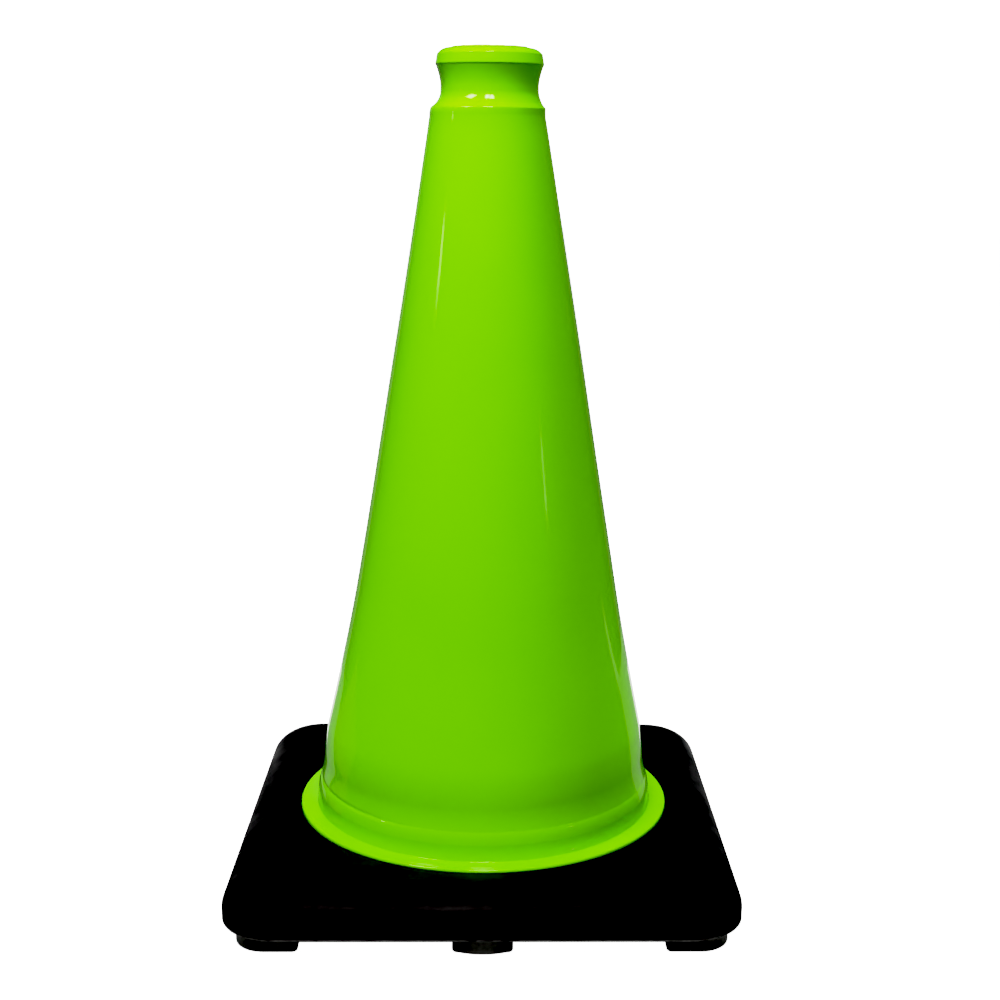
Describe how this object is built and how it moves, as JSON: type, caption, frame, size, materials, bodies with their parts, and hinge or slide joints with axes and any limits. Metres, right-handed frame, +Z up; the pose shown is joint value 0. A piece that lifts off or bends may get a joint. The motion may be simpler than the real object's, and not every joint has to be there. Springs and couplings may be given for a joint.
{
  "type": "traffic cone",
  "caption": "Hollow tapered road-marker cone with a grooved neck and open top, held in a heavy rounded square base on raised foot pads.",
  "frame": {"origin": "on the ground, under the middle of the base, on the cone's axis", "axes": "+Z up along the cone's axis, the base's flat sides along X and Y, -Y towards the viewer"},
  "size_m": [0.273, 0.273, 0.4572],
  "materials": {
    "shell": "high-gloss lime green soft PVC",
    "base": "black heavy PVC, satin with a fine moulded grain",
    "foot_pads": "matt black non-slip rubber"
  },
  "bodies": {
    "root": {"cone_shell": "shell", "base": "base", "foot_pad_front_left": "foot_pads", "foot_pad_front": "foot_pads", "foot_pad_front_right": "foot_pads", "foot_pad_right": "foot_pads", "foot_pad_back_right": "foot_pads", "foot_pad_back": "foot_pads", "foot_pad_back_left": "foot_pads", "foot_pad_left": "foot_pads"}
  },
  "joints": []
}
